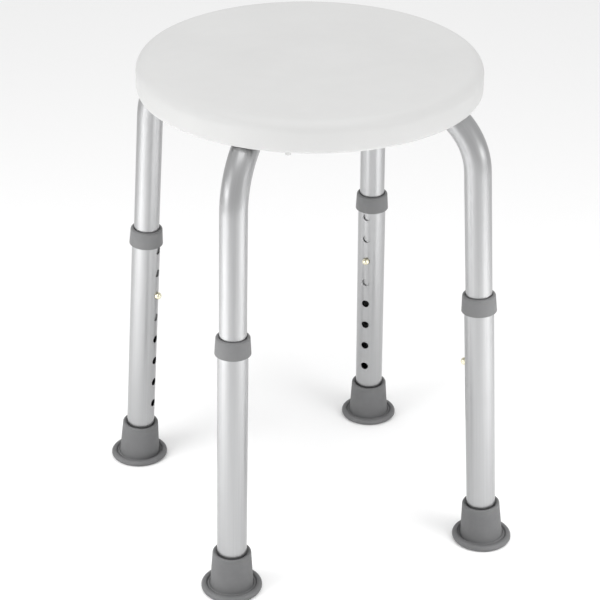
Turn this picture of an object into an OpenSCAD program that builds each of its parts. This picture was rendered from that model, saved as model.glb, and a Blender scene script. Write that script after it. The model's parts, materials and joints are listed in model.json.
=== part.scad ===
// Round shower stool with four height-adjustable legs.
// Millimetres, +Z up. The origin is on the floor, under the middle of the seat.
// The legs stand on the diagonals. Front is -Y and right is +X.

/* [Seat] */
// Diameter of the round seat
seat_d = 318; // [310:1:340]
// Height of the seat's top above the floor
seat_top = 474; // [470:1:480]
// Thickness of the seat at its rim
seat_h = 29.5; // [28:0.5:32]
// Radius of the rim's top edge
rim_top_r = 11.5; // [8:0.5:14]
// Radius of the rim's bottom edge
rim_bottom_r = 4.5; // [2:0.5:5]
// Thickness of the seat's top skin
seat_skin = 4; // [3:0.5:5]
// Thickness of the seat's side wall
seat_wall = 5.5; // [5:0.5:6]
// Thickness of the ribs under the seat
rib_w = 3; // [2:0.5:4]

/* [Frames] */
// Outer diameter of the bent upper tubes
upper_d = 25; // [25:0.1:25.2]
// Wall of the upper tubes
upper_wall = 1.2; // [1:0.1:1.5]
// Radius of the bends, at the middle of the tube
bend_r = 67; // [60:1:70]
// Distance of each leg from the stool's middle, just below its bend
leg_r = 166; // [160:1:168]
// Lean of the front left and rear right legs, in degrees
splay_upper = 1.5; // [0:0.1:4]
// Lean of the front right and rear left legs, in degrees
splay_lower = 3.5; // [0:0.1:4]

/* [Legs] */
// Outer diameter of the lower leg tubes
lower_d = 28; // [28:0.1:28.2]
// Wall of the lower leg tubes
lower_wall = 1.2; // [1:0.1:1.2]
// Distance from the floor to the top end of a lower tube, along the leg
lower_top = 264.5; // [263:0.5:265]
// Number of adjustment holes in each leg
hole_count = 8; // [6:1:8]
// Distance between adjustment holes
hole_pitch = 25.4; // [25:0.1:26]
// Diameter of an adjustment hole
hole_d = 8; // [7.8:0.1:8.4]
// Distance from the floor to the top adjustment hole
hole_top = 244.5; // [243:0.5:245]
// The hole that the button stands in, counted from the top
button_hole = 3; // [2:1:4]

/* [Buttons] */
// Diameter of a snap button
button_d = 7.4; // [7:0.1:7.4]
// How far a button stands out of its leg
button_out = 4.7; // [3:0.1:5]

/* [Collars and feet] */
// Height of a collar
collar_h = 17.5; // [16:0.5:17.5]
// Diameter of a collar at its top
collar_top_d = 31.5; // [31:0.1:33]
// Diameter of a collar at its bottom
collar_bottom_d = 33.3; // [32:0.1:34]
// Height of a foot
foot_h = 40.5; // [38:0.5:46]
// Diameter of a foot's flange
foot_d = 57.7; // [52:0.1:60]
// Diameter of a foot's sleeve at its lip
foot_lip_d = 36.5; // [35:0.1:37]
// Diameter of a foot's sleeve at its root
foot_root_d = 40.5; // [39:0.1:41]

/* [Hidden] */
SIDES = ["front_left", "front_right", "rear_left", "rear_right"];
AZIMUTHS = [225, 315, 135, 45];
SPLAYS = [splay_upper, splay_lower, splay_lower, splay_upper];
PER_LEG = ["leg_tube_", "collar_", "foot_", "foot_washer_", "button_", "spring_clip_"];

$fn = 96;
cut = 1;          // how far a cut runs past the face it opens

white = "#f2f2f0";
aluminium = "#c6c8ca";
steel = "#a9adb0";
brass = "#d4b668";
collar_grey = "#8c8d8f";
foot_grey = "#75777a";

// Heights, from the seat down
rim_z = seat_top - seat_h;
skin_z = seat_top - seat_skin;
seat_gap = 5.5;   // from the tubes up to the skin, filled by the saddles
upper_r = upper_d / 2;
run_z = skin_z - seat_gap - upper_r;
bend_z = run_z - bend_r;
rib_z = run_z - 2;

// Seat
seat_in_r = seat_d / 2 - seat_wall;
seat_in_corner_r = 7;
rib_rings = [62, 112];
rib_angles = [-25, 0, 25];
rib_start_r = 30;
channel_fit = 0.1;          // gap between a tube and its saddle
channel_end = seat_in_r - 1.5;
flank_start = 34;
screw_r = 78;               // distance of the seat screws from the middle
screw_boss_d = 18;
centre_boss_d = 46;
stub_angle = 241.3;         // moulding stub under the rim
stub_d = 5;
stub_h = 1.8;

// Frames
upper_bore_r = upper_r - upper_wall;
upper_end = hole_top - (button_hole - 1) * hole_pitch - 38;
bend_thinning = 0.04;       // what bending takes off each face of the tube's wall
bend_lap = 0.2;             // how far the straight tube runs on past the start of a bend
dent_flat = 14;             // half length of the flat in a dent
dent_slope = 28;            // slope of a dent's ends, in degrees
dent_gap = -0.05;           // each dent stops just short of the middle height

// Hardware
crossing_z = run_z - upper_r;   // underside of the tubes where they cross
bolt_d = 6;
bolt_tip_z = skin_z - 1;
bolt_head = 10;
bolt_head_h = 4;
nut_h = 5;
washer_d = 16;
washer_h = 1.5;
screw_d = 4.8;
screw_head_d = 9.4;
screw_head_h = 3;
screw_tip_z = skin_z - 1;
recess_w = 1.3;

// Legs
lower_r = lower_d / 2;
lower_bore_r = lower_r - lower_wall;
sole_t = 6.4;               // rubber under the steel washer
foot_washer_h = 1.6;
lower_end = sole_t + foot_washer_h;
button_t = hole_top - (button_hole - 1) * hole_pitch;

// Buttons and springs, as distances from the leg's axis
button_r = button_d / 2;
button_tip = lower_r + button_out;
button_flange_r = 4.9;
button_flange_out = 10;
button_flange_h = 1.1;
rivet_r = 1.5;
rivet_head_r = 2.4;
leaf_t = 0.8;
leaf_w = 8;
leaf_out = 8.2;             // the leaf behind the button
leaf_back = -10.1;          // the leaf against the far side of the tube
spring_bend_r = 3.8;
spring_bend_z = 32;
leaf_lean = 22.4;           // slope of the sprung leaf, in degrees
spring_fn = 48;

// ---------- places ----------

function foot_place(splay) = leg_r + bend_z * tan(splay);
function bend_place(splay) = leg_r - bend_r / cos(splay);
function bend_end(splay) = (bend_z + bend_r * sin(splay)) / cos(splay);

// Local Z runs up a leg's axis from the floor, and local -X faces the stool's middle
module along_leg(splay) {
    translate([foot_place(splay), 0, 0])
        rotate([0, -splay, 0])
            children();
}

module at_side(side) {
    rotate([0, 0, AZIMUTHS[side]])
        along_leg(SPLAYS[side])
            children();
}

// Local Z points at the stool's middle, out of a leg's adjustment holes
module facing_in(height) {
    translate([0, 0, height])
        rotate([0, -90, 0])
            children();
}

module on_arms(azimuth, distance) {
    for (turn = [0, 180])
        rotate([0, 0, azimuth + turn])
            translate([distance, 0, 0])
                children();
}

// ---------- seat ----------

// Half section of a disc with a rounded top edge and a rounded bottom edge
module disc_section(r, h, top_r, bottom_r) {
    square([r - top_r, h]);
    translate([0, bottom_r]) square([r, h - top_r - bottom_r]);
    square([r - bottom_r, h / 2]);
    translate([r - top_r, h - top_r]) circle(r = top_r);
    if (bottom_r > 0) translate([r - bottom_r, bottom_r]) circle(r = bottom_r);
}

module seat_shell() {
    difference() {
        translate([0, 0, rim_z])
            rotate_extrude()
                disc_section(seat_d / 2, seat_h, rim_top_r, rim_bottom_r);
        translate([0, 0, rim_z - cut])
            rotate_extrude()
                disc_section(seat_in_r, seat_h - seat_skin + cut, seat_in_corner_r, 0);
    }
}

module seat_ribs() {
    rib_h = skin_z - rib_z + cut;
    for (r = rib_rings)
        translate([0, 0, rib_z])
            difference() {
                cylinder(r = r + rib_w / 2, h = rib_h);
                translate([0, 0, -cut]) cylinder(r = r - rib_w / 2, h = rib_h + 2 * cut);
            }
    for (quarter = [0:90:270], angle = rib_angles)
        rotate([0, 0, quarter + angle])
            translate([rib_start_r, -rib_w / 2, rib_z])
                cube([seat_in_r - rib_start_r + cut, rib_w, rib_h]);
    for (azimuth = AZIMUTHS, flank = [-1, 1])
        rotate([0, 0, azimuth])
            translate([flank_start, flank * (upper_r + rib_w / 2 + 0.7) - rib_w / 2, rib_z])
                cube([seat_in_r - flank_start, rib_w, rib_h]);
}

module seat_bosses() {
    boss_h = skin_z - run_z + cut;
    translate([0, 0, run_z]) cylinder(d = centre_boss_d, h = boss_h);
    for (azimuth = AZIMUTHS)
        rotate([0, 0, azimuth])
            translate([screw_r, 0, run_z])
                cylinder(d = screw_boss_d, h = boss_h);
}

// The space that one frame takes under the seat
module tube_channel(azimuth) {
    r = upper_r + channel_fit;
    drop = run_z - rib_z + cut;
    rotate([0, 0, azimuth]) {
        translate([-channel_end, 0, run_z]) rotate([0, 90, 0]) cylinder(r = r, h = 2 * channel_end);
        translate([-channel_end, -r, run_z - drop]) cube([2 * channel_end, 2 * r, drop]);
    }
}

module seat() {
    color(white)
    difference() {
        union() {
            seat_shell();
            seat_ribs();
            seat_bosses();
            rotate([0, 0, stub_angle])
                translate([seat_d / 2 - rim_bottom_r, 0, rim_z - stub_h])
                    cylinder(d = stub_d, h = stub_h + 2);
        }
        tube_channel(AZIMUTHS[0]);
        tube_channel(AZIMUTHS[1]);
        for (azimuth = AZIMUTHS)
            rotate([0, 0, azimuth])
                translate([screw_r, 0, run_z])
                    cylinder(d = screw_d, h = screw_tip_z - run_z);
        translate([0, 0, run_z]) cylinder(d = bolt_head / cos(30) + 0.3, h = skin_z - run_z, $fn = 6);
    }
}

// ---------- frames ----------

// The space below the middle height that a dent takes out of the run
module dent(inset) {
    flat = dent_flat + inset * tan(dent_slope / 2);
    top = inset - dent_gap;
    bottom = -upper_d;
    rotate([90, 0, 0])
        linear_extrude(2 * upper_d, center = true)
            polygon([
                [-flat, top],
                [flat, top],
                [flat + (top - bottom) / tan(dent_slope), bottom],
                [-flat - (top - bottom) / tan(dent_slope), bottom]
            ]);
}

// The straight run under the seat, dented from below to its middle where it crosses the other
module frame_run(length) {
    difference() {
        rotate([0, 90, 0]) cylinder(r = upper_r, h = length, center = true);
        dent(0);
        difference() {
            rotate([0, 90, 0]) cylinder(r = upper_bore_r, h = length + 2 * cut, center = true);
            dent(upper_wall);
        }
        on_arms(0, screw_r) cylinder(d = screw_d + 0.4, h = 2 * upper_d, center = true);
        cylinder(d = bolt_d + 0.5, h = 2 * upper_d, center = true);
    }
}

module frame_bend(splay) {
    translate([bend_place(splay), 0, bend_z])
        rotate([90, 0, 0])
            rotate([0, 0, splay])
                rotate_extrude(angle = 90 - splay)
                    translate([bend_r, 0])
                        difference() {
                            circle(r = upper_r - bend_thinning);
                            circle(r = upper_bore_r + bend_thinning);
                        }
}

module frame_leg(splay) {
    length = bend_end(splay) + bend_lap - upper_end;
    along_leg(splay)
        difference() {
            translate([0, 0, upper_end]) cylinder(r = upper_r, h = length);
            translate([0, 0, upper_end - cut]) cylinder(r = upper_bore_r, h = length + 2 * cut);
            facing_in(button_t) cylinder(d = button_d + 0.6, h = upper_d);
        }
}

// One tube bent to a U: down one leg, across under the seat and down the other.
// The dent faces down, or up with a dent_turn of 180.
module cross_frame(azimuth, splay, dent_turn) {
    color(aluminium)
    rotate([0, 0, azimuth]) {
        translate([0, 0, run_z]) rotate([dent_turn, 0, 0]) frame_run(2 * (bend_place(splay) + bend_lap));
        for (turn = [0, 180])
            rotate([0, 0, turn]) {
                frame_bend(splay);
                frame_leg(splay);
            }
    }
}

module cross_frame_upper() {
    cross_frame(AZIMUTHS[0], splay_upper, 0);
}

module cross_frame_lower() {
    cross_frame(AZIMUTHS[1], splay_lower, 180);
}

// ---------- hardware under the seat ----------

module centre_bolt() {
    color(steel) {
        translate([0, 0, crossing_z - washer_h - bolt_head_h])
            cylinder(d = bolt_head / cos(30), h = bolt_head_h, $fn = 6);
        translate([0, 0, crossing_z - washer_h])
            cylinder(d = bolt_d, h = bolt_tip_z - crossing_z + washer_h);
    }
}

module centre_washer() {
    color(steel)
    translate([0, 0, crossing_z - washer_h])
        difference() {
            cylinder(d = washer_d, h = washer_h);
            translate([0, 0, -cut]) cylinder(d = bolt_d + 0.4, h = washer_h + 2 * cut);
        }
}

module centre_nut() {
    color(steel)
    translate([0, 0, skin_z - nut_h - 0.2])
        difference() {
            cylinder(d = bolt_head / cos(30), h = nut_h, $fn = 6);
            translate([0, 0, -cut]) cylinder(d = bolt_d, h = nut_h + 2 * cut);
        }
}

// A pan head with a cross recess, and a plain shank that stands for the thread
module seat_screw() {
    head_z = run_z - upper_r - screw_head_h;
    difference() {
        union() {
            translate([0, 0, head_z])
                rotate_extrude()
                    intersection() {
                        disc_section(screw_head_d / 2, screw_head_h + 2, 1, 2.2);
                        square([screw_head_d, screw_head_h]);
                    }
            translate([0, 0, head_z + screw_head_h / 2])
                cylinder(d = screw_d, h = screw_tip_z - head_z - screw_head_h / 2);
        }
        for (turn = [0, 90])
            rotate([0, 0, turn])
                translate([-screw_head_d / 3.4, -recess_w / 2, head_z - cut])
                    cube([screw_head_d / 1.7, recess_w, cut + 1.6]);
    }
}

module seat_screws() {
    color(steel)
    for (azimuth = AZIMUTHS)
        rotate([0, 0, azimuth])
            translate([screw_r, 0, 0])
                seat_screw();
}

// ---------- legs ----------

module leg_tube(side) {
    color(aluminium)
    at_side(side)
        difference() {
            translate([0, 0, lower_end]) cylinder(r = lower_r, h = lower_top - lower_end);
            translate([0, 0, lower_end - cut])
                cylinder(r = lower_bore_r, h = lower_top - lower_end + 2 * cut);
            for (i = [0:hole_count - 1])
                facing_in(hole_top - i * hole_pitch)
                    cylinder(d = hole_d, h = lower_d);
        }
}

// The collar grips the lower tube, and its lip covers the tube's end
module collar(side) {
    lip = 3;
    edge_r = 2.2;
    base = lower_top + lip - collar_h;
    color(collar_grey)
    at_side(side)
        translate([0, 0, base])
            difference() {
                rotate_extrude()
                    union() {
                        polygon([
                            [0, 0],
                            [collar_bottom_d / 2 - 0.5, 0],
                            [collar_bottom_d / 2, 0.5],
                            [collar_top_d / 2, collar_h - edge_r],
                            [collar_top_d / 2 - edge_r, collar_h - edge_r],
                            [collar_top_d / 2 - edge_r, collar_h],
                            [0, collar_h]
                        ]);
                        translate([collar_top_d / 2 - edge_r, collar_h - edge_r]) circle(r = edge_r);
                    }
                translate([0, 0, -cut]) cylinder(r = lower_r, h = collar_h - lip + cut);
                cylinder(r = lower_bore_r, h = collar_h + cut);
            }
}

module foot_washer(side) {
    color(steel)
    at_side(side)
        translate([0, 0, sole_t])
            difference() {
                cylinder(r = lower_r - 0.2, h = foot_washer_h);
                translate([0, 0, -cut]) cylinder(r = 4, h = foot_washer_h + 2 * cut);
            }
}

// The flange lies level on the floor
module foot_flange() {
    flange_h = 6;
    rim_r = flange_h / 2;
    groove_floor = 4.6;
    groove_r = foot_d / 2 - 6.5;
    rotate_extrude()
        difference() {
            union() {
                square([foot_d / 2 - rim_r, groove_floor]);
                polygon([
                    [groove_r, 1],
                    [foot_d / 2 - rim_r, 1],
                    [foot_d / 2 - rim_r, flange_h],
                    [foot_d / 2 - rim_r - 1.2, flange_h],
                    [groove_r, groove_floor]
                ]);
                translate([foot_d / 2 - rim_r, rim_r]) circle(r = rim_r);
            }
            for (r = [8, 13.5, 19])
                translate([r, -cut]) square([2, 1 + cut]);
        }
}

// The sleeve leans with its leg
module foot_sleeve() {
    lip_r = 1.7;
    rotate_extrude() {
        polygon([
            [0, 3],
            [foot_root_d / 2 + 1.4, 3],
            [foot_root_d / 2 + 1.4, 4.2],
            [foot_root_d / 2, 8],
            [foot_lip_d / 2, foot_h - lip_r],
            [foot_lip_d / 2 - lip_r, foot_h - lip_r],
            [foot_lip_d / 2 - lip_r, foot_h],
            [0, foot_h]
        ]);
        translate([foot_lip_d / 2 - lip_r, foot_h - lip_r]) circle(r = lip_r);
    }
}

module foot(side) {
    lead_in = 1.2;
    color(foot_grey)
    difference() {
        union() {
            rotate([0, 0, AZIMUTHS[side]])
                translate([foot_place(SPLAYS[side]), 0, 0])
                    foot_flange();
            at_side(side) foot_sleeve();
        }
        at_side(side) {
            translate([0, 0, sole_t]) cylinder(r = lower_r, h = foot_h);
            translate([0, 0, foot_h - lead_in])
                cylinder(r1 = lower_r, r2 = lower_r + lead_in + 0.1, h = lead_in + 0.1);
        }
    }
}

// ---------- buttons and springs ----------

module button(side) {
    flange_in = button_flange_out - button_flange_h;
    color(brass)
    at_side(side)
        facing_in(button_t) {
            translate([0, 0, flange_in]) cylinder(r = button_flange_r, h = button_flange_h);
            translate([0, 0, flange_in]) cylinder(r = button_r, h = button_tip - button_r - flange_in);
            translate([0, 0, button_tip - button_r]) sphere(r = button_r);
            translate([0, 0, flange_in - 1.4]) cylinder(r = rivet_r, h = 1.4);
            translate([0, 0, flange_in - 2.1]) cylinder(r = rivet_head_r, h = 0.7);
        }
}

// A strip of spring steel between two points, as a section
module leaf(from, to) {
    step = to - from;
    translate(from)
        rotate(atan2(step.y, step.x))
            translate([0, -leaf_t / 2])
                square([norm(step), leaf_t]);
    for (end = [from, to]) translate(end) circle(d = leaf_t, $fn = spring_fn);
}

// X is the distance from the leg's axis towards the button, and Y runs up the leg
module spring_section() {
    bend = [leaf_back + spring_bend_r, spring_bend_z];
    bend_out = bend + spring_bend_r * [cos(leaf_lean), sin(leaf_lean)];
    slope_end = bend_out.y - (leaf_out - bend_out.x) / tan(leaf_lean);
    leaf([leaf_back, -10], [leaf_back, spring_bend_z]);
    leaf(bend_out, [leaf_out, slope_end]);
    leaf([leaf_out, slope_end], [leaf_out, -6]);
    translate(bend)
        difference() {
            circle(r = spring_bend_r + leaf_t / 2);
            circle(r = spring_bend_r - leaf_t / 2);
            polygon([
                [0, 0],
                3 * spring_bend_r * [cos(leaf_lean), sin(leaf_lean)],
                [3 * spring_bend_r, -3 * spring_bend_r],
                [-3 * spring_bend_r, -3 * spring_bend_r],
                [-3 * spring_bend_r, 0]
            ]);
        }
}

module spring_clip(side) {
    color(steel)
    at_side(side)
        translate([0, leaf_w / 2, button_t])
            difference() {
                rotate([90, 0, 0])
                    linear_extrude(leaf_w)
                        mirror([1, 0]) spring_section();
                translate([-leaf_out - 2, -leaf_w / 2, 0])
                    rotate([0, 90, 0])
                        cylinder(r = rivet_r + 0.3, h = 4);
            }
}

// ---------- assembly ----------

seat();
cross_frame_upper();
cross_frame_lower();
centre_bolt();
centre_washer();
centre_nut();
seat_screws();
for (side = [0:3]) {
    leg_tube(side);
    collar(side);
    foot(side);
    foot_washer(side);
    button(side);
    spring_clip(side);
}
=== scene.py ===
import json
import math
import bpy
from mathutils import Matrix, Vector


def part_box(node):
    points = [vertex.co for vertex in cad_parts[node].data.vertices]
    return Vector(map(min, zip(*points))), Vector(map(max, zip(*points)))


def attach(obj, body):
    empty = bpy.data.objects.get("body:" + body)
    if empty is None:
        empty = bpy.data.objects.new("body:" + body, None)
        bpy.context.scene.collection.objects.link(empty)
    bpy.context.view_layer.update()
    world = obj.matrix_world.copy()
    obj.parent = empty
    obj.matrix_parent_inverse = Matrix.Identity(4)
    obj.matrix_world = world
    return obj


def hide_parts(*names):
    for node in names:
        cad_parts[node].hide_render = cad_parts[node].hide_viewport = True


bl_info = {
    "name": "Round Shower Stool",
    "version": (1, 0, 0),
    "blender": (4, 5, 0),
    "location": "3D View > Sidebar > Shower Stool",
    "description": "Builds a round shower stool with height-adjustable legs",
    "category": "Add Mesh",
}

import bmesh
import bpy
from bpy.props import (
    FloatProperty,
    FloatVectorProperty,
    IntProperty,
    PointerProperty,
)
from mathutils import Matrix, Vector

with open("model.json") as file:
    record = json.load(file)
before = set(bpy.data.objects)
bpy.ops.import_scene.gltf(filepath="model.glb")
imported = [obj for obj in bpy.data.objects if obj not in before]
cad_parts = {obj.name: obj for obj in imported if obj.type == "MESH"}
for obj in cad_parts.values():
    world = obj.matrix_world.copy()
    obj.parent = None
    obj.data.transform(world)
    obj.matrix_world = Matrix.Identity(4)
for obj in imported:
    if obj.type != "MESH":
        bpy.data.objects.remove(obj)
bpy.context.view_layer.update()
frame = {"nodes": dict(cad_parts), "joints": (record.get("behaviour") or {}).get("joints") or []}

SIDES = ("front_left", "front_right", "rear_left", "rear_right")

# Facets round a shape, from the seat's rim down to a small hole
RIM_FACETS = 256
RING_FACETS = 128
BOSS_FACETS = 96
TUBE_FACETS = 64
SCREW_FACETS = 48
HOLE_FACETS = 24
HEXAGON = 6

PAST = 0.001  # how far a rib or a cutter runs past the face it meets
MERGE = 2e-6  # the points of a turned shape that are nearer than this become one
NEAR = 1e-5  # points this near are on one ring, or on the mirror's plane
HAIR = 1e-6  # slack in a test of a point's height
SMOOTH_ANGLE = math.radians(32)


# ---------------------------------------------------------------- places

def joint_axis(name):
    """The axis of a joint in the record."""
    joint = next(joint for joint in frame["joints"] if joint["name"] == name)
    return Vector(joint["axis"])


def foot_point(side):
    """The middle of a foot, on the floor."""
    low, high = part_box("foot_" + side)
    return Vector(((low.x + high.x) / 2, (low.y + high.y) / 2, 0))


def azimuth(side):
    """The direction of a leg as seen from the stool's middle."""
    foot = foot_point(side)
    return math.atan2(foot.y, foot.x)


def turn_to(side):
    """Turns a piece from +X to the direction of a leg."""
    return Matrix.Rotation(azimuth(side), 4, "Z")


def lean(side):
    """How far a leg leans from upright."""
    return math.acos(-joint_axis("height_" + side).z)


def leg_place(side):
    """Puts a piece modelled about Z on its leg.

    +Z runs up the leg, and -X faces the stool's middle.
    """
    return (
        Matrix.Translation(foot_point(side))
        @ turn_to(side)
        @ Matrix.Rotation(-lean(side), 4, "Y")
    )


def facing_in(height):
    """Lays a piece modelled about Z across a leg, pointing at the stool's middle."""
    return Matrix.Translation((0, 0, height)) @ Matrix.Rotation(-math.pi / 2, 4, "Y")


def run_height():
    """The height of the middle of the tubes' runs under the seat."""
    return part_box("cross_frame_upper")[1].z - settings().frames.tube / 2


def bend_centre(side):
    """The centre of a leg's bend: its distance from the stool's middle, and its height."""
    bend = settings().frames.bend
    slope = lean(side)
    height = run_height() - bend
    distance = foot_point(side).length - height * math.tan(slope)
    return distance - bend / math.cos(slope), height


def hole_height(number):
    """The height of an adjustment hole along its leg, with the top one as number 1."""
    legs = settings().legs
    return legs.top_hole - (number - 1) * legs.hole_pitch


def seat_screw_places():
    """The four seat screws, on the two runs under the seat."""
    outwards = Matrix.Translation((settings().frames.screws, 0, 0))
    return [turn_to(side) @ outwards for side in SIDES]


# ---------------------------------------------------------------- sizes and colours

def size(name, default, description):
    return FloatProperty(
        name=name,
        description=description,
        default=default,
        min=0.0,
        precision=5,
        unit="LENGTH",
        subtype="DISTANCE",
    )


def count(name, default, description):
    return IntProperty(name=name, description=description, default=default, min=1)


def angle(name, default, description):
    return FloatProperty(
        name=name,
        description=description,
        default=default,
        unit="ROTATION",
        subtype="ANGLE",
    )


def power(name, default, description):
    return FloatProperty(
        name=name, description=description, default=default, min=0.0, unit="POWER"
    )


def colour(name, default, description):
    return FloatVectorProperty(
        name=name,
        description=description,
        default=default,
        size=3,
        min=0.0,
        max=1.0,
        subtype="COLOR",
    )


def group_of(kind, name, description):
    return PointerProperty(type=kind, name=name, description=description)


seat_low, seat_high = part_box("seat")


class SeatSizes(bpy.types.PropertyGroup):
    diameter: size(
        "Diameter", seat_high.x - seat_low.x, "Outer diameter of the seat"
    )
    top: size("Top", seat_high.z, "Height of the sitting face above the floor")
    thickness: size("Thickness", 0.0295, "Height of the rim")
    top_edge: size("Top Edge", 0.0115, "Radius of the rim's top edge")
    bottom_edge: size("Bottom Edge", 0.0045, "Radius of the rim's bottom edge")
    skin: size("Skin", 0.004, "Thickness of the sitting skin")
    wall: size("Wall", 0.0055, "Thickness of the rim's wall")
    rib: size("Rib", 0.003, "Thickness of a rib under the seat")
    rib_reach: size("Rib Reach", 0.020, "How far the ribs reach down from the skin")


class FrameSizes(bpy.types.PropertyGroup):
    tube: size("Tube", 0.025, "Outer diameter of the bent tubes")
    wall: size("Wall", 0.0012, "Wall of the bent tubes")
    bend: size("Bend", 0.067, "Radius of a bend at the middle of the tube")
    dent: size("Dent", 0.014, "Half length of the flat where the tubes cross")
    dent_ramp: size("Dent Ramp", 0.024, "Length over which a dent fades out")
    screws: size("Screws", 0.078, "Distance of the seat screws from the middle")


class LegSizes(bpy.types.PropertyGroup):
    tube: size("Tube", 0.028, "Outer diameter of the leg tubes")
    wall: size("Wall", 0.0012, "Wall of the leg tubes")
    bottom: size("Bottom", 0.008, "Lower end of a leg tube, along the leg")
    top: size("Top", 0.2645, "Upper end of a leg tube, along the leg")
    holes: count("Holes", 8, "Adjustment holes in each leg")
    hole: size("Hole", 0.008, "Diameter of an adjustment hole")
    hole_pitch: size("Hole Pitch", 0.0254, "Distance between adjustment holes")
    top_hole: size("Top Hole", 0.2445, "Height of the top hole, along the leg")
    button_hole: count("Button Hole", 3, "Hole the button stands in, from the top")


class CollarSizes(bpy.types.PropertyGroup):
    height: size("Height", 0.0175, "Height of a collar")
    top: size("Top Diameter", 0.0315, "Diameter of a collar at its top")
    bottom: size("Bottom Diameter", 0.0333, "Diameter of a collar at its bottom")
    lip: size("Lip", 0.003, "Thickness of the lip over the leg tube's end")


class FootSizes(bpy.types.PropertyGroup):
    height: size("Height", 0.0405, "Height of a foot along the leg")
    flange: size("Flange", 0.0577, "Diameter of the flange on the floor")
    flange_height: size("Flange Height", 0.006, "Thickness of the flange at its rim")
    root: size("Root", 0.0405, "Diameter of the sleeve at its root")
    lip: size("Lip", 0.0365, "Diameter of the sleeve at its lip")
    sole: size("Sole", 0.0064, "Rubber under the leg tube's end")


class ButtonSizes(bpy.types.PropertyGroup):
    diameter: size("Diameter", 0.0074, "Diameter of a snap button")
    tip: size("Tip", 0.0187, "Distance of the button's tip from the leg's axis")


class Finishes(bpy.types.PropertyGroup):
    seat: colour("Seat", (0.64, 0.64, 0.635), "White moulded seat")
    tube: colour("Tube", (0.415, 0.417, 0.421), "Satin anodised tube")
    collar: colour("Collar", (0.165, 0.166, 0.168), "Grey collar")
    foot: colour("Foot", (0.132, 0.133, 0.135), "Grey rubber foot")
    brass: colour("Brass", (0.82, 0.78, 0.60), "Polished button")
    steel: colour("Steel", (0.58, 0.58, 0.59), "Bright zinc and spring steel")
    floor: colour("Floor", (0.95, 0.95, 0.95), "Pale floor")


class StageSettings(bpy.types.PropertyGroup):
    camera: FloatVectorProperty(
        name="Camera",
        description="Place of the camera",
        default=(-0.6437, -1.5796, 1.1170),
        size=3,
        unit="LENGTH",
        subtype="TRANSLATION",
    )
    heading: angle("Heading", math.radians(21.94), "View's turn from +Y towards +X")
    dip: angle("Dip", math.radians(27.67), "How far the view looks down")
    roll: angle("Roll", 0.010, "Turn about the direction of view")
    lens: FloatProperty(
        name="Lens",
        description="Focal length on a 36 mm sensor",
        default=119.15,
        min=1.0,
        unit="CAMERA",
    )
    sky: FloatProperty(
        name="Sky",
        description="Strength of the even light all round",
        default=0.82,
        min=0.0,
    )
    key: power("Key", 1.5, "Power of the left softbox")
    fill: power("Fill", 0.5, "Power of the right softbox")
    left_floor: power("Left Floor", 6.0, "Power of the floor light at the left")
    right_floor: power("Right Floor", 5.2, "Power of the floor light at the right")
    top: power("Top", 11.0, "Power of the overhead softbox")


class StoolSettings(bpy.types.PropertyGroup):
    seat: group_of(SeatSizes, "Seat", "Sizes of the seat")
    frames: group_of(FrameSizes, "Frames", "Sizes of the bent tubes")
    legs: group_of(LegSizes, "Legs", "Sizes of the leg tubes")
    collars: group_of(CollarSizes, "Collars", "Sizes of the collars")
    feet: group_of(FootSizes, "Feet", "Sizes of the feet")
    buttons: group_of(ButtonSizes, "Buttons", "Sizes of the snap buttons")
    finishes: group_of(Finishes, "Finishes", "Colours of the finishes")
    stage: group_of(StageSettings, "Stage", "Camera and lights")


def settings():
    """The stool's sizes and colours, as the sidebar shows them."""
    return bpy.context.scene.shower_stool


# ---------------------------------------------------------------- modelling

def deselect_all():
    """Leaves edit mode and selects nothing."""
    if bpy.context.object and bpy.context.object.mode != "OBJECT":
        bpy.ops.object.mode_set(mode="OBJECT")
    bpy.ops.object.select_all(action="DESELECT")


def take(*objects):
    """Selects only these objects, with the first one active."""
    deselect_all()
    for obj in objects:
        obj.select_set(True)
    bpy.context.view_layer.objects.active = objects[0]


def named(name):
    """The object that the last operator added, under a name."""
    obj = bpy.context.object
    obj.name = obj.data.name = name
    return obj


def keep_place():
    """Moves the active piece's place, turn and scale into its mesh."""
    bpy.ops.object.transform_apply(location=True, rotation=True, scale=True)


def put(obj, matrix):
    """Moves a piece and keeps its place in its mesh."""
    take(obj)
    obj.matrix_world = matrix
    keep_place()
    return obj


def copy_of(model, name, matrix):
    """A copy of a model with its own mesh, put in its place."""
    take(model)
    bpy.ops.object.duplicate(linked=False)
    return put(named(name), matrix)


def select_points(obj, wanted):
    """Selects the vertices of the edited mesh that pass a test of their place."""
    mesh = bmesh.from_edit_mesh(obj.data)
    mesh.select_mode = {"VERT"}
    for vertex in mesh.verts:
        vertex.select = wanted(vertex.co)
    mesh.select_flush_mode()
    bmesh.update_edit_mesh(obj.data)


def arc(r, z, radius, start, end, steps):
    """Points of an arc in an outline, with angles in degrees from outwards."""
    turns = [math.radians(start + (end - start) * i / steps) for i in range(steps + 1)]
    return [
        (r + radius * math.cos(turn), z + radius * math.sin(turn)) for turn in turns
    ]


def extrude(x, y, z):
    """Extrudes the selection in edit mode and moves it."""
    bpy.ops.mesh.extrude_region_move(TRANSFORM_OT_translate={"value": (x, y, z)})


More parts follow.
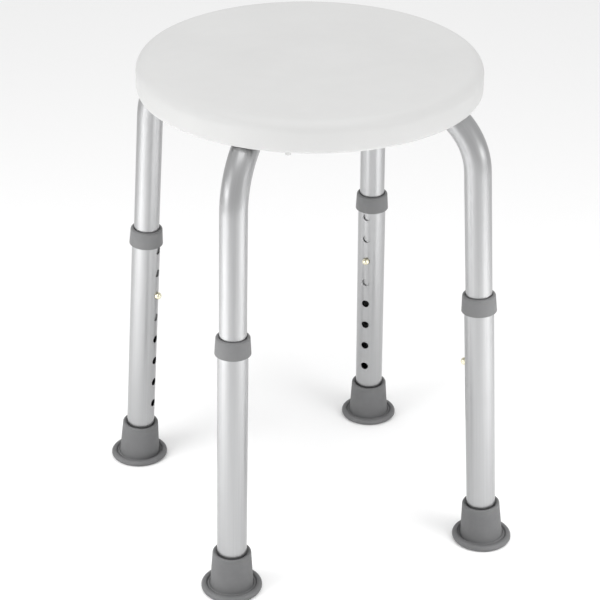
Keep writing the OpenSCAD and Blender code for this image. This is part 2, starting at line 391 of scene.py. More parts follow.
def turned(name, outline, facets):
    """A closed body turned about Z from an outline of (radius, height) points.

    It starts as a small triangle that is merged to the outline's first point.
    """
    triangle = 0.001
    deselect_all()
    bpy.ops.mesh.primitive_circle_add(vertices=3, radius=triangle)
    obj = named(name)
    bpy.ops.object.mode_set(mode="EDIT")
    bpy.ops.mesh.select_all(action="SELECT")
    bpy.ops.mesh.merge(type="CENTER")
    bpy.ops.transform.translate(value=(outline[0][0], 0, outline[0][1]))
    for (r, z), (next_r, next_z) in zip(outline, outline[1:]):
        extrude(next_r - r, 0, next_z - z)
    bpy.ops.mesh.select_all(action="SELECT")
    bpy.ops.mesh.spin(steps=facets, angle=math.tau, center=(0, 0, 0), axis=(0, 0, 1))
    bpy.ops.mesh.select_all(action="SELECT")
    bpy.ops.mesh.remove_doubles(threshold=MERGE)
    bpy.ops.mesh.normals_make_consistent(inside=False)
    bpy.ops.object.mode_set(mode="OBJECT")
    return obj


def rod(radius, start, end, place=Matrix(), facets=SCREW_FACETS):
    """A plain rod about Z, added to a piece or cut out of it."""
    deselect_all()
    bpy.ops.mesh.primitive_cylinder_add(
        vertices=facets,
        radius=radius,
        depth=end - start,
        location=(0, 0, (start + end) / 2),
    )
    keep_place()
    return put(named("rod"), place)


def block(low, high, place=Matrix()):
    """A plain block between two corners, added to a piece or cut out of it."""
    low, high = Vector(low), Vector(high)
    deselect_all()
    bpy.ops.mesh.primitive_cube_add(size=1, location=(low + high) / 2)
    bpy.context.object.scale = high - low
    keep_place()
    return put(named("block"), place)


def joined(objects):
    """Joins objects to one, without changing their faces."""
    take(*objects)
    if len(objects) > 1:
        bpy.ops.object.join()
    return bpy.context.object


def combine(obj, others, operation):
    """Adds other bodies to a piece, or cuts them out of it, and removes them."""
    tool = joined(others)
    take(obj)
    modifier = obj.modifiers.new("Combine", "BOOLEAN")
    modifier.operation = operation
    modifier.solver = "EXACT"
    modifier.use_self = len(others) > 1
    modifier.object = tool
    bpy.ops.object.modifier_apply(modifier=modifier.name)
    bpy.data.objects.remove(tool)


def remember_straight(obj, straight=lambda place: place):
    """Keeps each point's place on the straight tube, for grain that runs along it.

    It stays through bends and turns, so the drawn lines follow the tube.
    """
    grain = obj.data.attributes.new("straight_tube", "FLOAT_VECTOR", "POINT")
    for vertex, value in zip(obj.data.vertices, grain.data):
        value.vector = straight(vertex.co)


def finished(obj, material, body, slot, *replaced):
    """Gives a piece its shading and finish, and puts it on its body."""
    take(obj)
    bpy.ops.object.shade_smooth_by_angle(angle=SMOOTH_ANGLE)
    obj.data.materials.clear()
    obj.data.materials.append(material)
    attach(obj, body)
    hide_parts(*replaced)


def refinish(node, material):
    """Gives a carried-over part of the frame its finish."""
    mesh = frame["nodes"][node].data
    mesh.materials.clear()
    mesh.materials.append(material)


# ---------------------------------------------------------------- finishes

def tone(base, factor):
    """A colour made lighter or darker."""
    return tuple(min(channel * factor, 1.0) for channel in base)


class Finish:
    """A material with a few helpers for its nodes."""

    def __init__(self, name, base, metallic, attribute=None):
        self.base = base
        self.material = bpy.data.materials.new(name)
        self.material.use_nodes = True
        self.nodes = self.material.node_tree.nodes
        self.links = self.material.node_tree.links
        self.shader = self.nodes["Principled BSDF"]
        self.shader.inputs["Base Color"].default_value = (*base, 1)
        self.shader.inputs["Metallic"].default_value = metallic
        if attribute:
            place = self.nodes.new("ShaderNodeAttribute")
            place.attribute_name = attribute
            self.place = place.outputs["Vector"]
        else:
            self.place = self.nodes.new("ShaderNodeTexCoord").outputs["Object"]
        self.bump = None

    def noise(self, scale, detail=2.0, roughness=0.5, stretch=(1, 1, 1)):
        """A noise over the piece, finer along an axis where stretch is larger."""
        mapping = self.nodes.new("ShaderNodeMapping")
        mapping.inputs["Scale"].default_value = stretch
        noise = self.nodes.new("ShaderNodeTexNoise")
        noise.inputs["Scale"].default_value = scale
        noise.inputs["Detail"].default_value = detail
        noise.inputs["Roughness"].default_value = roughness
        self.links.new(self.place, mapping.inputs["Vector"])
        self.links.new(mapping.outputs["Vector"], noise.inputs["Vector"])
        return noise.outputs["Fac"]

    def ranged(self, value, low, high):
        """Maps a noise to a range. Most of a noise lies between 0.3 and 0.7."""
        node = self.nodes.new("ShaderNodeMapRange")
        node.inputs["From Min"].default_value = 0.3
        node.inputs["From Max"].default_value = 0.7
        node.inputs["To Min"].default_value = low
        node.inputs["To Max"].default_value = high
        self.links.new(value, node.inputs["Value"])
        return node.outputs["Result"]

    def vary_roughness(self, value, low, high):
        self.links.new(self.ranged(value, low, high), self.shader.inputs["Roughness"])

    def vary_colour(self, value, dark, light):
        """Mixes a darker and a lighter tone of the base colour by a noise."""
        mix = self.nodes.new("ShaderNodeMix")
        mix.data_type = "RGBA"
        mix.inputs["A"].default_value = (*tone(self.base, dark), 1)
        mix.inputs["B"].default_value = (*tone(self.base, light), 1)
        self.links.new(self.ranged(value, 0, 1), mix.inputs["Factor"])
        self.links.new(mix.outputs["Result"], self.shader.inputs["Base Color"])

    def add_relief(self, height, depth, strength):
        """Adds a layer of relief over the ones before it."""
        bump = self.nodes.new("ShaderNodeBump")
        bump.inputs["Distance"].default_value = depth
        bump.inputs["Strength"].default_value = strength
        self.links.new(height, bump.inputs["Height"])
        if self.bump:
            self.links.new(self.bump, bump.inputs["Normal"])
        self.bump = bump.outputs["Normal"]
        self.links.new(self.bump, self.shader.inputs["Normal"])


def seat_finish():
    """White polyethylene with a fine moulded grain and a faint flow mottle."""
    base = settings().finishes.seat
    finish = Finish("white_moulded_plastic", base, metallic=0.0)
    finish.shader.inputs["Specular IOR Level"].default_value = 0.42
    finish.vary_colour(finish.noise(9, 4, 0.6), dark=0.975, light=1.02)
    finish.vary_roughness(finish.noise(60, 3), low=0.40, high=0.50)
    finish.add_relief(finish.noise(120, 2), depth=0.00012, strength=0.16)
    finish.add_relief(finish.noise(1700, 2, 0.6), depth=0.00006, strength=0.30)
    return finish.material


def tube_finish():
    """Satin anodised aluminium with fine lines drawn along the tube."""
    base = settings().finishes.tube
    finish = Finish("satin_anodised_tube", base, metallic=1.0, attribute="straight_tube")
    lines = finish.noise(1, 4, 0.6, stretch=(1500, 1500, 5))
    streaks = finish.noise(1, 3, 0.6, stretch=(900, 900, 14))
    scratches = finish.noise(1, 2, 0.5, stretch=(2600, 2600, 9))
    finish.vary_colour(lines, dark=0.95, light=1.04)
    finish.vary_roughness(streaks, low=0.29, high=0.37)
    finish.add_relief(scratches, depth=0.00002, strength=0.10)
    finish.add_relief(finish.noise(2400, 2, 0.6), depth=0.00002, strength=0.12)
    return finish.material


def collar_finish():
    """Grey moulded plastic with a fine matt texture."""
    base = settings().finishes.collar
    finish = Finish("grey_collar_plastic", base, metallic=0.0)
    finish.shader.inputs["Specular IOR Level"].default_value = 0.5
    finish.vary_colour(finish.noise(45, 3), dark=0.96, light=1.04)
    finish.vary_roughness(finish.noise(260, 3), low=0.48, high=0.60)
    finish.add_relief(finish.noise(2300, 2, 0.6), depth=0.00007, strength=0.35)
    return finish.material


def foot_finish():
    """Grey rubber with a dry bloom and a fine moulded grain."""
    base = settings().finishes.foot
    finish = Finish("grey_foot_rubber", base, metallic=0.0)
    finish.shader.inputs["Specular IOR Level"].default_value = 0.45
    finish.vary_colour(finish.noise(38, 4, 0.6), dark=0.93, light=1.07)
    finish.vary_roughness(finish.noise(180, 3), low=0.55, high=0.70)
    finish.add_relief(finish.noise(240, 3), depth=0.00012, strength=0.18)
    finish.add_relief(finish.noise(2000, 2, 0.6), depth=0.00007, strength=0.32)
    return finish.material


def brass_finish():
    """Polished pale brass with hairline scratches."""
    base = settings().finishes.brass
    finish = Finish("polished_button_brass", base, metallic=1.0)
    scratches = finish.noise(900, 4, 0.7, stretch=(1, 1, 4))
    finish.vary_colour(finish.noise(500, 3), dark=0.95, light=1.03)
    finish.vary_roughness(scratches, low=0.14, high=0.26)
    finish.add_relief(finish.noise(1800, 2), depth=0.00002, strength=0.12)
    return finish.material


def zinc_finish():
    """Bright zinc plate with a soft cloudy bloom."""
    base = settings().finishes.steel
    finish = Finish("bright_zinc_steel", base, metallic=1.0)
    finish.vary_colour(finish.noise(260, 4, 0.6), dark=0.90, light=1.06)
    finish.vary_roughness(finish.noise(420, 4, 0.6), low=0.24, high=0.40)
    finish.add_relief(finish.noise(1500, 3), depth=0.00003, strength=0.15)
    return finish.material


def spring_finish():
    """Rolled spring steel, darker than the zinc, with lines along the strip."""
    base = tone(settings().finishes.steel, 0.8)
    finish = Finish("rolled_spring_steel", base, metallic=1.0)
    lines = finish.noise(1, 4, 0.6, stretch=(2200, 2200, 30))
    scratches = finish.noise(1, 2, 0.5, stretch=(2600, 2600, 40))
    finish.vary_colour(lines, dark=0.88, light=1.08)
    finish.vary_roughness(finish.noise(700, 3), low=0.26, high=0.42)
    finish.add_relief(scratches, depth=0.00002, strength=0.15)
    return finish.material


# ---------------------------------------------------------------- pieces

class STOOL_OT_seat(bpy.types.Operator):
    """Moulds the seat: a rounded disc, hollow and ribbed underneath"""

    bl_idname = "shower_stool.seat"
    bl_label = "Seat"

    def shell(self, sizes):
        """The disc with its rounded rim and the hollow under it."""
        rings = (0, 0.06, 0.12)
        shoulder = 0.0015
        corner = 0.007
        r = sizes.diameter / 2
        rim = sizes.top - sizes.thickness
        inner = r - sizes.wall
        skin = sizes.top - sizes.skin
        top_edge = sizes.top_edge
        low_edge = sizes.bottom_edge
        outline = [(ring, sizes.top) for ring in rings]
        outline += [(r - top_edge - shoulder, sizes.top)]
        outline += arc(r - top_edge, sizes.top - top_edge, top_edge, 90, 0, steps=12)
        outline += arc(r - low_edge, rim + low_edge, low_edge, 0, -90, steps=8)
        outline += [(inner, rim)]
        outline += arc(inner - corner, skin - corner, corner, 0, 90, steps=6)
        outline += [(0, skin)]
        return turned("seat", outline, RIM_FACETS)

    def ring_rib(self, r, half, low, high):
        """A ring rib with its lower edges broken."""
        edge = 0.0006
        outline = [(r + half, high), (r + half, low + edge), (r + half - edge, low)]
        outline += [(r - half + edge, low), (r - half, low + edge)]
        outline += [(r - half, high), (r + half, high)]
        return turned("rib", outline, RING_FACETS)

    def stiffeners(self, sizes, frames):
        """Ring ribs, radial ribs, saddles beside the tubes and bosses for the screws."""
        ring_ribs = (0.062, 0.112)
        radial_ribs = [
            quarter + offset for quarter in (0, 90, 180, 270) for offset in (-25, 0, 25)
        ]
        radial_start = 0.030
        saddle_start = 0.034
        saddle_gap = 0.0007
        screw_boss = 0.009
        middle_boss = 0.023
        skin = sizes.top - sizes.skin
        low = skin - sizes.rib_reach
        high = skin + PAST
        half = sizes.rib / 2
        reach = sizes.diameter / 2 - sizes.wall + PAST
        run = run_height()
        ribs = [self.ring_rib(r, half, low, high) for r in ring_ribs]
        for degrees in radial_ribs:
            turn = Matrix.Rotation(math.radians(degrees), 4, "Z")
            ribs.append(block((radial_start, -half, low), (reach, half, high), turn))
        for side, screw in zip(SIDES, seat_screw_places()):
            for flank in (-1, 1):
                y = flank * (frames.tube / 2 + half + saddle_gap)
                near = (saddle_start, y - half, low)
                far = (reach, y + half, high)
                ribs.append(block(near, far, turn_to(side)))
            ribs.append(rod(screw_boss, run, high, screw))
        ribs.append(rod(middle_boss, run, high, facets=BOSS_FACETS))
        return ribs

    def cutters(self, sizes, frames):
        """The crossing channels for the tubes, and the pockets for nut and screws."""
        clearance = 0.0001
        end_gap = 0.0015
        mouth = 0.003
        short_of_skin = 0.001
        screw_pocket = 0.0024
        nut_pocket = 0.0059
        run = run_height()
        r = frames.tube / 2 + clearance
        end = sizes.diameter / 2 - sizes.wall - end_gap
        tip = sizes.top - sizes.skin - short_of_skin
        lift = Matrix.Translation((0, 0, run))
        cuts = []
        for side in SIDES[:2]:
            along = turn_to(side) @ lift @ Matrix.Rotation(math.pi / 2, 4, "Y")
            cuts.append(rod(r, -end, end, along, BOSS_FACETS))
            cuts.append(block((-end, -r, run - mouth), (end, r, run), turn_to(side)))
        for place in seat_screw_places():
            cuts.append(rod(screw_pocket, run, tip, place, HOLE_FACETS))
        cuts.append(rod(nut_pocket, run, tip + short_of_skin, facets=HEXAGON))
        return cuts

    def stub(self, sizes):
        """The short moulding stub under the front rim."""
        radius = 0.0025
        height = 0.004
        turn = Matrix.Rotation(math.radians(241.3), 4, "Z")
        outwards = Matrix.Translation((sizes.diameter / 2 - sizes.bottom_edge, 0, 0))
        low = seat_low.z
        return rod(radius, low, low + height, turn @ outwards, HOLE_FACETS)

    def execute(self, context):
        sizes = settings().seat
        frames = settings().frames
        seat = self.shell(sizes)
        combine(seat, self.stiffeners(sizes, frames), "UNION")
        combine(seat, [self.stub(sizes)], "UNION")
        for cutter in self.cutters(sizes, frames):
            combine(seat, [cutter], "DIFFERENCE")
        finished(seat, seat_finish(), "frame", "seat_plastic", "seat")
        return {"FINISHED"}


class STOOL_OT_cross_frames(bpy.types.Operator):
    """Bends the two U-shaped tubes, dents them where they cross and drills them"""

    bl_idname = "shower_stool.cross_frames"
    bl_label = "Cross Frames"

    def half_tube(self, name, side, press):
        """Half of one tube as a thin skin: half its run, its bend and one leg.

        The crossing is pressed flat on top where press is 1, and below where it is -1.
        """
        ramp_steps = 12
        bend_steps = 20
        screw_land = 0.006
        bend_land = 0.002
        flattest = 0.004
        sizes = settings().frames
        r = sizes.tube / 2
        slope = lean(side)
        run = run_height()
        bend_x, bend_low = bend_centre(side)
        deselect_all()
        bpy.ops.mesh.primitive_circle_add(
            vertices=TUBE_FACETS,
            radius=r,
            location=(0, 0, run),
            rotation=(0, math.pi / 2, 0),
        )
        tube = named(name)
        keep_place()
        dent_rings = [sizes.dent / 2, sizes.dent]
        for step in range(1, ramp_steps + 1):
            dent_rings.append(sizes.dent + sizes.dent_ramp * step / ramp_steps)
        rings = dent_rings + [sizes.screws - screw_land, sizes.screws + screw_land]
        rings.append(bend_x)
        bpy.ops.object.mode_set(mode="EDIT")
        bpy.ops.mesh.select_all(action="SELECT")
        for x, next_x in zip([0] + rings, rings):
            extrude(next_x - x, 0, 0)
        bpy.ops.mesh.spin(
            steps=bend_steps,
            angle=slope - math.pi / 2,
            center=(bend_x, 0, bend_low),
            axis=(0, 1, 0),
        )
        low_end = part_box("cross_frame_" + name)[0].z
        end = (low_end + r * math.sin(slope)) / math.cos(slope)
        start = (bend_low + sizes.bend * math.sin(slope)) / math.cos(slope)
        down = Vector((math.sin(slope), 0, -math.cos(slope)))
        extrude(*(down * bend_land))
        extrude(*(down * (start - end - bend_land)))
        for x in [0] + dent_rings[:-1]:
            ramp = max(0.0, (x - sizes.dent) / sizes.dent_ramp)
            depth = ramp * ramp * (3 - 2 * ramp)

            def pressed(p, x=x):
                return abs(p.x - x) < NEAR and press * (p.z - run) > HAIR

            select_points(tube, pressed)
            scale = (1, 1, max(depth, flattest))
            bpy.ops.transform.resize(value=scale, center_override=(x, 0, run))
        bpy.ops.object.mode_set(mode="OBJECT")
        return tube

    def close(self, tube, wall):
        """Mirrors the half tube and gives it its wall."""
        take(tube)
        mirror = tube.modifiers.new("Other Half", "MIRROR")
        mirror.merge_threshold = NEAR
        bpy.ops.object.modifier_apply(modifier=mirror.name)
        bpy.ops.object.mode_set(mode="EDIT")
        bpy.ops.mesh.select_all(action="SELECT")
        bpy.ops.mesh.normals_make_consistent(inside=False)
        bpy.ops.object.mode_set(mode="OBJECT")
        solid = tube.modifiers.new("Wall", "SOLIDIFY")
        solid.thickness = wall
        solid.offset = -1
        bpy.ops.object.modifier_apply(modifier=solid.name)

    def drills(self, side):
        """The holes of one tube: two for buttons, two for seat screws, one for the bolt."""
        button_clearance = 0.0003
        screw_hole = 0.0026
        bolt_hole = 0.00325
        sizes = settings().frames
        button_hole = settings().buttons.diameter / 2 + button_clearance
        button = facing_in(hole_height(settings().legs.button_hole))
        foot = Matrix.Translation((foot_point(side).length, 0, 0))
        leg = foot @ Matrix.Rotation(-lean(side), 4, "Y")
        run = run_height()
        screw = Matrix.Translation((sizes.screws, 0, run))
        holes = []
        for turn in (0, math.pi):
            half_turn = Matrix.Rotation(turn, 4, "Z")
            holes.append(rod(button_hole, 0, sizes.tube, half_turn @ leg @ button))
            holes.append(rod(screw_hole, -sizes.tube, sizes.tube, half_turn @ screw))
        middle = Matrix.Translation((0, 0, run))
        holes.append(rod(bolt_hole, -sizes.tube, sizes.tube, middle))
        return holes

    def straight(self, side):
        """The map from a place on the bent tube to its place on a straight one."""
        bend = settings().frames.bend
        slope = lean(side)
        quarter = math.pi / 2 - slope
        bend_x, bend_low = bend_centre(side)

        def unbent(place):
            x = abs(place.x) - bend_x
            z = place.z - bend_low
            turn = math.atan2(x, z)
            if x < 0:
                out, along = z, bend_x + x
            elif turn < quarter:
                out, along = math.hypot(x, z), bend_x + bend * turn
            else:
                out = x * math.cos(slope) + z * math.sin(slope)
                past_bend = x * math.sin(slope) - z * math.cos(slope)
                along = bend_x + bend * quarter + past_bend
            return Vector((out - bend, place.y, math.copysign(along, place.x)))

        return unbent

    def execute(self, context):
        finish = tube_finish()
        for name, side, press in (("upper", "front_left", -1), ("lower", "front_right", 1)):
            tube = self.half_tube(name, side, press)
            self.close(tube, settings().frames.wall)
            combine(tube, self.drills(side), "DIFFERENCE")
            remember_straight(tube, self.straight(side))
            put(tube, turn_to(side))
            tube.name = tube.data.name = "bent_tube_" + name
            finished(tube, finish, "frame", "upper_tube", "cross_frame_" + name)
        return {"FINISHED"}


class STOOL_OT_hardware(bpy.types.Operator):
    """Turns the seat screws and the crossing's bolt, and finishes the washer and nut"""

    bl_idname = "shower_stool.hardware"
    bl_label = "Screws and Bolt"

    def thread(self, root, crest, start, end, turns):
        """The outline of a thread, with a narrow flat on each crest."""
        pitch = (end - start) / turns
        outline = []
        for turn in range(turns):
            z = start + turn * pitch
            outline += [(root, z), (crest, z + 0.45 * pitch), (crest, z + 0.55 * pitch)]
        return outline

    def screw(self, low, high):
        """A pan head screw with a rounded head and a coarse thread."""
        head = 0.0047
        dome = 0.0022
        skirt = 0.0026
        head_height = 0.003
        root = 0.00185
        crest = 0.0024
        thread_start = low + 0.004
        thread_end = high - 0.002
        outline = [(0, low), (dome, low)]
        outline += arc(head - dome, low + dome, dome, -90, 0, steps=6)
        outline += [(head, low + skirt), (head, low + head_height)]
        outline += [(crest, low + head_height)]
        outline += self.thread(root, crest, thread_start, thread_end, turns=14)
        outline += [(root, thread_end), (0, high)]
        return turned("screw", outline, SCREW_FACETS)

    def cut_recess(self, screw, low):
        """Cuts the cross recess in the screw's head."""
        reach = 0.0028
        half = 0.00065
        depth = 0.0016
        for turn in (0, math.pi / 2):
            across = Matrix.Rotation(turn, 4, "Z")
            cut = block((-reach, -half, low - PAST), (reach, half, low + depth), across)
            combine(screw, [cut], "DIFFERENCE")

    def bolt(self, low, high):
        """A hexagon bolt with a chamfered head and a threaded shank."""
        half_flats = 0.005
        corner = half_flats / math.cos(math.radians(30))
        dish = 0.0003
        dish_floor, dish_edge = 0.0038, 0.0042
        chamfer = 0.0005
        head_height = 0.004
        root = 0.0026
        crest = 0.003
        point = 0.0006
        thread_start = low + 0.009
        thread_end = high - 0.001
        outline = [(0, low + dish), (dish_floor, low + dish), (dish_edge, low)]
        outline += [(half_flats, low), (corner, low + chamfer)]
        outline += [(corner, low + head_height), (crest, low + head_height)]
        outline += self.thread(root, crest, thread_start, thread_end, turns=20)
        outline += [(root, high - point), (0, high)]
        bolt = turned("centre_bolt_new", outline, SCREW_FACETS)
        flats = rod(corner, low - PAST, high + PAST, facets=HEXAGON)
        combine(bolt, [flats], "INTERSECT")
        return bolt

    def execute(self, context):
        zinc = zinc_finish()
        low, high = (corner.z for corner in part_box("seat_screws"))
        model = self.screw(low, high)
        self.cut_recess(model, low)
        for side, place in zip(SIDES, seat_screw_places()):
            screw = copy_of(model, "seat_screw_" + side, place)
            finished(screw, zinc, "frame", "steel", "seat_screws")
        bpy.data.objects.remove(model)
        low, high = (corner.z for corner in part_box("centre_bolt"))
        finished(self.bolt(low, high), zinc, "frame", "steel", "centre_bolt")
        refinish("centre_washer", zinc)
        refinish("centre_nut", zinc)
        return {"FINISHED"}


class STOOL_OT_leg_tubes(bpy.types.Operator):
    """Cuts the four leg tubes and drills their rows of adjustment holes"""

    bl_idname = "shower_stool.leg_tubes"
    bl_label = "Leg Tubes"

    def execute(self, context):
        edge = 0.0003
        sizes = settings().legs
        low, high = sizes.bottom, sizes.top
        r = sizes.tube / 2
        bore = r - sizes.wall
        outline = [(bore + edge, low), (r - edge, low), (r, low + edge)]
        outline += [(r, high - edge), (r - edge, high), (bore + edge, high)]
        outline += [(bore, high - edge), (bore, low + edge), (bore + edge, low)]
        model = turned("leg_tube", outline, RING_FACETS)
        holes = []
        for number in range(1, sizes.holes + 1):
            place = facing_in(hole_height(number))
            holes.append(rod(sizes.hole / 2, 0, sizes.tube, place))
        combine(model, holes, "DIFFERENCE")
        remember_straight(model)
        finish = tube_finish()
        for side in SIDES:
            tube = copy_of(model, "drilled_tube_" + side, leg_place(side))
            finished(tube, finish, "leg_" + side, "lower_tube", "leg_tube_" + side)
        bpy.data.objects.remove(model)
        return {"FINISHED"}


class STOOL_OT_collars(bpy.types.Operator):
    """Moulds the collars that close the tops of the leg tubes"""

    bl_idname = "shower_stool.collars"
    bl_label = "Collars"

    def execute(self, context):
        edge = 0.0005
        shoulder = 0.0022
        lead_in = 0.0002
        sizes = settings().collars
        legs = settings().legs
        high = legs.top + sizes.lip
        low = high - sizes.height
        top = sizes.top / 2
        bottom = sizes.bottom / 2
        grip = legs.tube / 2
        bore = grip - legs.wall
        outline = [(grip + lead_in, low), (bottom - edge, low)]
        outline += arc(bottom - edge, low + edge, edge, -90, 0, steps=4)
        outline += arc(top - shoulder, high - shoulder, shoulder, 0, 90, steps=10)
        outline += arc(bore + edge, high - edge, edge, 90, 180, steps=4)
        outline += [(bore, legs.top), (grip, legs.top)]
        outline += [(grip, low + lead_in), (grip + lead_in, low)]
        model = turned("collar", outline, RING_FACETS)
        finish = collar_finish()
        for side in SIDES:
            collar = copy_of(model, "moulded_collar_" + side, leg_place(side))
            finished(collar, finish, "leg_" + side, "collar_plastic", "collar_" + side)
        bpy.data.objects.remove(model)
        return {"FINISHED"}


class STOOL_OT_feet(bpy.types.Operator):
    """Moulds the rubber feet: a level flange with a leaning sleeve over the leg"""

    bl_idname = "shower_stool.feet"
    bl_label = "Feet"

    def sole(self):
        """The underside, with three shallow round grooves."""
        width = 0.002
        depth = 0.001
        flank = 0.0003
        outline = [(0, 0)]
        for r in (0.008, 0.0135, 0.019):
            far = r + width
            outline += [(r, 0), (r + flank, depth), (far - flank, depth), (far, 0)]
        return outline

    def flange(self, sizes):
        """The flange's rim, and the groove that runs round its upper face."""
        flat_edge = 0.002
        bead = 0.0008
        bead_in = 0.0012
        groove = 0.0046
        groove_steps = (
            (0.0058, -0.0002),
            (0.0064, -0.0001),
            (0.0069, 0.0006),
            (0.0075, 0.0007),
        )
        edge = sizes.flange / 2
        rim = sizes.flange_height / 2
        high = sizes.flange_height
        outline = [(edge - rim - flat_edge, 0)]
        outline += arc(edge - rim, rim, rim, -90, 90, steps=14)
        outline += arc(edge - rim - bead_in, high - bead, bead, 90, 150, steps=3)
        outline += [(edge - inwards, groove + rise) for inwards, rise in groove_steps]
        return outline

    def sleeve(self, sizes, bore):
        """The sleeve's outside, its rounded lip and the socket for the leg tube."""
        fillet = ((0.0005, 0.0046), (0.0002, 0.0056), (0, 0.008), (-0.0001, 0.010))
        round_lip = 0.0017
        lead_in = 0.0004
        lead_high, lead_low = 0.0012, 0.0020
        root = sizes.root / 2
        lip = sizes.lip / 2
        high = sizes.height
        outline = [(root + outwards, z) for outwards, z in fillet]
        outline += arc(lip - round_lip, high - round_lip, round_lip, 0, 110, steps=8)
        outline += [(bore + lead_in, high - lead_high), (bore, high - lead_low)]
        outline += [(bore, sizes.sole), (0, sizes.sole)]
        return outline

    def execute(self, context):
        sleeve_margin = 0.002
        sizes = settings().feet
        sleeve = self.sleeve(sizes, settings().legs.tube / 2)
        outline = self.sole() + self.flange(sizes) + sleeve
        sleeve_low = min(z for r, z in sleeve)
        sleeve_edge = sizes.root / 2 + sleeve_margin
        finish = foot_finish()
        zinc = zinc_finish()

        def leaning(p):
            return p.z > sleeve_low - HAIR and math.hypot(p.x, p.y) < sleeve_edge

        for side in SIDES:
            foot = turned("moulded_foot_" + side, outline, RING_FACETS)
            bpy.ops.object.mode_set(mode="EDIT")
            select_points(foot, leaning)
            bpy.ops.transform.rotate(
                value=lean(side), orient_axis="Y", center_override=(0, 0, 0)
            )
            bpy.ops.object.mode_set(mode="OBJECT")
            put(foot, Matrix.Translation(foot_point(side)) @ turn_to(side))
            finished(foot, finish, "leg_" + side, "foot_rubber", "foot_" + side)
            refinish("foot_washer_" + side, zinc)
        return {"FINISHED"}


class STOOL_OT_buttons(bpy.types.Operator):
    """Turns the domed snap buttons and finishes the springs behind them"""

    bl_idname = "shower_stool.buttons"
    bl_label = "Snap Buttons"

    def outline(self, sizes):
        """A rivet head and neck that hold the spring, a flange and the domed button."""
        rivet, rivet_edge = 0.0024, 0.0003
        rivet_back, rivet_front = 0.0021, 0.0014
        neck = 0.0015
        flange, flange_edge = 0.0049, 0.0002
        flange_height = 0.0011
        flange_low = 0.0089
        flange_high = flange_low + flange_height
        back = flange_low - rivet_back
        front = flange_low - rivet_front
        r = sizes.diameter / 2
        outline = [(0, back), (rivet - rivet_edge, back), (rivet, back + rivet_edge)]
        outline += [(rivet, front), (neck, front), (neck, flange_low)]
        outline += [(flange - flange_edge, flange_low)]
        outline += [(flange, flange_low + flange_edge)]
        outline += [(flange, flange_high - flange_edge)]
        outline += [(flange - flange_edge, flange_high), (r, flange_high)]
        outline += arc(0, sizes.tip - r, r, 0, 90, steps=12)
        return outline

    def execute(self, context):
        model = turned("button", self.outline(settings().buttons), TUBE_FACETS)
        across = facing_in(hole_height(settings().legs.button_hole))
        brass = brass_finish()
        spring = spring_finish()
        for side in SIDES:
            button = copy_of(model, "snap_button_" + side, leg_place(side) @ across)
            finished(button, brass, "snap_" + side, "button_brass", "button_" + side)
            refinish("spring_clip_" + side, spring)
        bpy.data.objects.remove(model)
        return {"FINISHED"}


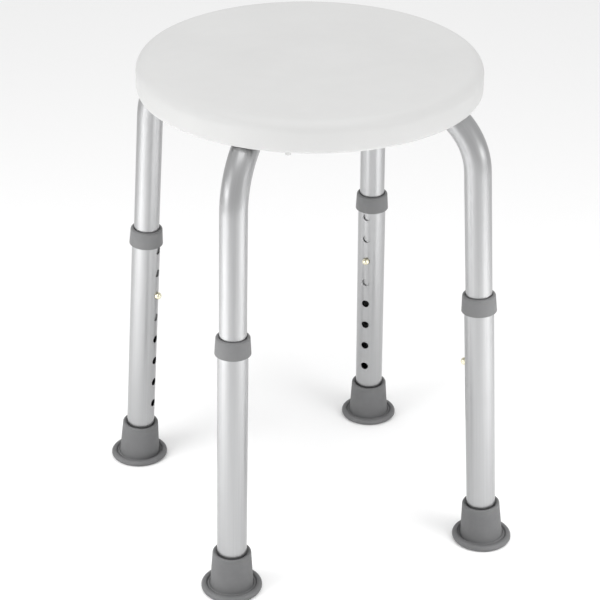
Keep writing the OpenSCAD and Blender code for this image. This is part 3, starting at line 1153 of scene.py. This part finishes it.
class STOOL_OT_stage(bpy.types.Operator):
    """Lays the pale floor and sets the camera and the soft lights"""

    bl_idname = "shower_stool.stage"
    bl_label = "Stage"

    def camera(self, stage):
        """The camera, level but for its small roll."""
        ahead = Vector((
            math.sin(stage.heading) * math.cos(stage.dip),
            math.cos(stage.heading) * math.cos(stage.dip),
            -math.sin(stage.dip),
        ))
        right = Vector((math.cos(stage.heading), -math.sin(stage.heading), 0))
        up = right.cross(ahead)
        level = Matrix((right, up, -ahead)).transposed().to_4x4()
        place = level @ Matrix.Rotation(stage.roll, 4, "Z")
        place.translation = stage.camera
        bpy.ops.object.camera_add()
        camera = named("camera")
        camera.matrix_world = place
        camera.data.sensor_width = 36
        camera.data.lens = stage.lens
        bpy.context.scene.camera = camera

    def area_light(self, name, strength, place, width):
        bpy.ops.object.light_add(type="AREA", location=place)
        light = named(name)
        light.data.size = width
        light.data.energy = strength
        return light

    def softbox(self, name, strength, width, height, degrees, distance, rise):
        """A softbox aimed at the stool, with its direction in degrees from +X."""
        aim = Vector((0, 0, 0.25))
        turn = math.radians(degrees)
        place = Vector((distance * math.cos(turn), distance * math.sin(turn), rise))
        light = self.area_light(name, strength, place, width)
        light.rotation_euler = (aim - place).to_track_quat("-Z", "Y").to_euler()
        light.data.shape = "RECTANGLE"
        light.data.size_y = height

    def floor_light(self, name, strength, degrees):
        """A soft light straight down on the floor beside the stool."""
        distance = 0.85
        rise = 0.45
        width = 0.6
        turn = math.radians(degrees)
        place = (distance * math.cos(turn), distance * math.sin(turn), rise)
        light = self.area_light(name, strength, place, width)
        light.data.shape = "DISK"

    def even_light(self, strength):
        """An even white light all round."""
        world = bpy.data.worlds.new("even_light")
        world.use_nodes = True
        background = world.node_tree.nodes["Background"]
        background.inputs["Color"].default_value = (1, 1, 1, 1)
        background.inputs["Strength"].default_value = strength
        bpy.context.scene.world = world

    def execute(self, context):
        stage = settings().stage
        deselect_all()
        bpy.ops.mesh.primitive_plane_add(size=14)
        floor = named("floor")
        pale = Finish("pale_floor", settings().finishes.floor, metallic=0.0)
        pale.shader.inputs["Specular IOR Level"].default_value = 0.1
        pale.vary_roughness(pale.noise(4), low=0.85, high=0.95)
        floor.data.materials.append(pale.material)
        self.camera(stage)
        self.softbox(
            "left_softbox", stage.key,
            width=0.6, height=1.0, degrees=191, distance=1.3, rise=0.52,
        )
        self.softbox(
            "right_softbox", stage.fill,
            width=0.5, height=1.0, degrees=306, distance=1.3, rise=0.52,
        )
        self.floor_light("left_floor_light", stage.left_floor, degrees=184)
        self.floor_light("right_floor_light", stage.right_floor, degrees=311)
        self.softbox(
            "top_softbox", stage.top,
            width=1.6, height=1.6, degrees=250, distance=0.5, rise=2.0,
        )
        self.even_light(stage.sky)
        bpy.context.scene.view_settings.view_transform = "Standard"
        return {"FINISHED"}


PIECES = (
    STOOL_OT_seat,
    STOOL_OT_cross_frames,
    STOOL_OT_hardware,
    STOOL_OT_leg_tubes,
    STOOL_OT_collars,
    STOOL_OT_feet,
    STOOL_OT_buttons,
    STOOL_OT_stage,
)


class VIEW3D_PT_shower_stool(bpy.types.Panel):
    """Lists the stool's pieces and their sizes"""

    bl_label = "Shower Stool"
    bl_space_type = "VIEW_3D"
    bl_region_type = "UI"
    bl_category = "Shower Stool"

    def draw(self, context):
        for piece in PIECES:
            self.layout.operator(piece.bl_idname, text=piece.bl_label)
        for group in StoolSettings.__annotations__:
            box = self.layout.box()
            box.label(text=group.title())
            sizes = getattr(context.scene.shower_stool, group)
            for value in type(sizes).__annotations__:
                box.prop(sizes, value)


CLASSES = (
    SeatSizes,
    FrameSizes,
    LegSizes,
    CollarSizes,
    FootSizes,
    ButtonSizes,
    Finishes,
    StageSettings,
    StoolSettings,
    *PIECES,
    VIEW3D_PT_shower_stool,
)


def register():
    for cls in CLASSES:
        bpy.utils.register_class(cls)
    bpy.types.Scene.shower_stool = PointerProperty(type=StoolSettings)


def unregister():
    del bpy.types.Scene.shower_stool
    for cls in reversed(CLASSES):
        bpy.utils.unregister_class(cls)


def main():
    register()
    bpy.ops.shower_stool.seat()
    bpy.ops.shower_stool.cross_frames()
    bpy.ops.shower_stool.hardware()
    bpy.ops.shower_stool.leg_tubes()
    bpy.ops.shower_stool.collars()
    bpy.ops.shower_stool.feet()
    bpy.ops.shower_stool.buttons()
    bpy.ops.shower_stool.stage()


if __name__ == "__main__":
    main()
